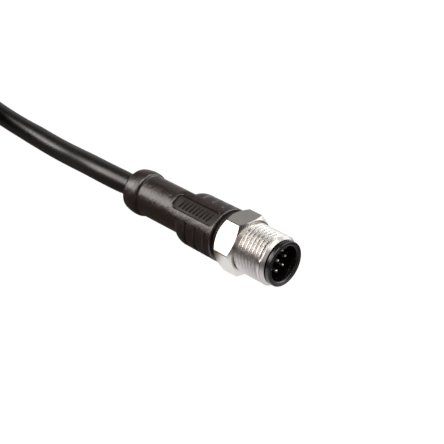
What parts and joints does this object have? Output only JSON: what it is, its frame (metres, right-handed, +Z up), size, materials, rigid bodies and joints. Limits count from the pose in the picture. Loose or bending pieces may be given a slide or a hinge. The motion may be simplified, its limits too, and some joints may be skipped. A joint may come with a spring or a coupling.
{
  "type": "m12 connector",
  "caption": "Straight round sensor plug with a threaded coupling screw, a ring of male contacts, a moulded grip and its cable.",
  "frame": {"origin": "on the plug's axis, at the front face of the contact insert", "axes": "+X along the plug's axis towards the mating side, +Z up from the surface the plug lies on"},
  "size_m": [0.2104, 0.0478, 0.0128],
  "materials": {
    "nickel": "nickel plated, satin",
    "insert_plastic": "fine matte",
    "gold": "gold plated",
    "inner_plastic": "matte",
    "grip_plastic": "satin, soft",
    "cable_jacket": "half gloss",
    "tie": "hook and loop",
    "core_white": "half gloss",
    "core_brown": "half gloss",
    "core_green": "half gloss",
    "core_yellow": "half gloss",
    "core_grey": "half gloss",
    "core_pink": "half gloss",
    "core_blue": "half gloss",
    "core_red": "half gloss"
  },
  "bodies": {
    "plug": {"contact_insert": "insert_plastic", "contact_1": "gold", "contact_2": "gold", "contact_3": "gold", "contact_4": "gold", "contact_5": "gold", "contact_6": "gold", "contact_7": "gold", "contact_8": "gold", "core_1": "core_white", "core_2": "core_brown", "core_3": "core_green", "core_4": "core_yellow", "core_5": "core_grey", "core_6": "core_pink", "core_7": "core_blue", "core_8": "core_red", "inner_mould": "inner_plastic", "overmould": "grip_plastic", "jacket_end": "cable_jacket", "cable_run": "cable_jacket", "cable_hank": "cable_jacket", "hank_tie": "tie", "flying_leads": "core_white"},
    "coupling_screw": {"coupling_screw": "nickel"}
  },
  "joints": [
    {"name": "coupling_screw_turn", "type": "hinge", "parent": "plug", "child": "coupling_screw", "pos_m": [-0.008, 0, 0], "axis": [1, 0, 0], "continuous": true}
  ]
}
